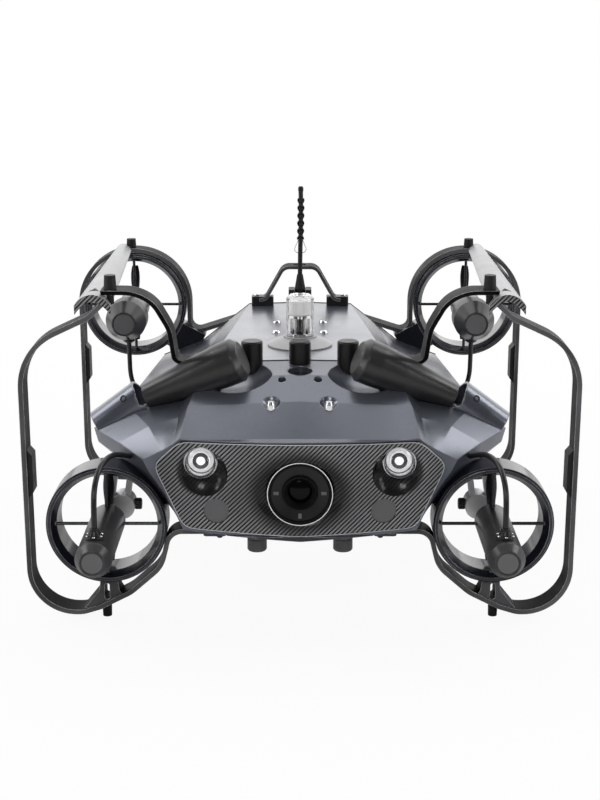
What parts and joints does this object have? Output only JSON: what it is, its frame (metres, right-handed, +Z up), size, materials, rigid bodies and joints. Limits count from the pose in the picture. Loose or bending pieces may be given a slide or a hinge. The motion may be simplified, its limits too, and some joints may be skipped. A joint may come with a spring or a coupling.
{
  "type": "underwater inspection vehicle",
  "caption": "Faceted underwater inspection vehicle in bent side frames, with ducted thrusters, a camera bezel with lamps, a beacon, a carry handle and a tether.",
  "frame": {"origin": "on the ground under the feet, midway across the vehicle and midway between the motor noses and the rear ducts", "axes": "+Z up, the camera faces -Y, +X across the vehicle"},
  "size_m": [0.552, 0.553, 0.4028],
  "materials": {
    "hull_paint": "satin slate paint",
    "carbon": "clear-coated carbon twill",
    "frame_metal": "dark anodised, satin",
    "black_plastic": "fine matt",
    "duct_plastic": "satin",
    "grey_plastic": "matt",
    "silver": "bead blasted",
    "bright": "polished",
    "clear": "clear",
    "cable_rubber": "matt jacket"
  },
  "bodies": {
    "hull": {"beacon_core": "black_plastic", "beacon_flange": "hull_paint", "beacon_tube": "clear", "belly_pan": "duct_plastic", "belly_sensors": "grey_plastic", "bezel": "carbon", "bumpers": "black_plastic", "camera_barrel": "black_plastic", "camera_face": "black_plastic", "camera_lens": "clear", "camera_trim_ring": "black_plastic", "carry_handle": "frame_metal", "cowls": "hull_paint", "deck_pods": "black_plastic", "deck_port": "black_plastic", "deck_posts": "black_plastic", "feet": "black_plastic", "front_duct_left": "duct_plastic", "front_duct_right": "duct_plastic", "front_frame_left": "frame_metal", "front_frame_right": "frame_metal", "front_lead_left": "cable_rubber", "front_lead_right": "cable_rubber", "front_motors": "black_plastic", "front_shell": "hull_paint", "glands": "black_plastic", "handle_clamps": "black_plastic", "light_cups": "bright", "light_domes": "clear", "light_emitters": "bright", "rear_duct_left": "duct_plastic", "rear_duct_right": "duct_plastic", "rear_frame_left": "frame_metal", "rear_frame_right": "frame_metal", "rear_lead_left": "cable_rubber", "rear_lead_right": "cable_rubber", "rear_motors": "duct_plastic", "rear_shell": "hull_paint", "ring_arms": "black_plastic", "s_arms": "frame_metal", "sensor_windows": "grey_plastic", "shell_screws": "bright", "side_pads": "black_plastic", "stern_cover": "hull_paint", "tail_brackets": "silver", "tether": "cable_rubber", "tether_block": "black_plastic", "tether_boot": "cable_rubber", "tether_cap": "black_plastic", "thumb_screws": "grey_plastic", "top_rails": "frame_metal", "yokes": "frame_metal"},
    "front_screw_left": {"front_propeller_left": "grey_plastic", "front_shaft_left": "silver"},
    "front_screw_right": {"front_propeller_right": "grey_plastic", "front_shaft_right": "silver"},
    "rear_screw_left": {"rear_propeller_left": "grey_plastic", "rear_shaft_left": "silver"},
    "rear_screw_right": {"rear_propeller_right": "grey_plastic", "rear_shaft_right": "silver"}
  },
  "joints": [
    {"name": "front_left_spin", "type": "hinge", "parent": "hull", "child": "front_screw_left", "pos_m": [-0.1935, -0.1444, 0.104], "axis": [0, 1, 0], "continuous": true},
    {"name": "front_right_spin", "type": "hinge", "parent": "hull", "child": "front_screw_right", "pos_m": [0.1935, -0.1444, 0.104], "axis": [0, 1, 0], "continuous": true},
    {"name": "rear_left_spin", "type": "hinge", "parent": "hull", "child": "rear_screw_left", "pos_m": [-0.206, 0.2546, 0.2465], "axis": [0, 1, 0], "continuous": true},
    {"name": "rear_right_spin", "type": "hinge", "parent": "hull", "child": "rear_screw_right", "pos_m": [0.206, 0.2546, 0.2465], "axis": [0, 1, 0], "continuous": true}
  ]
}
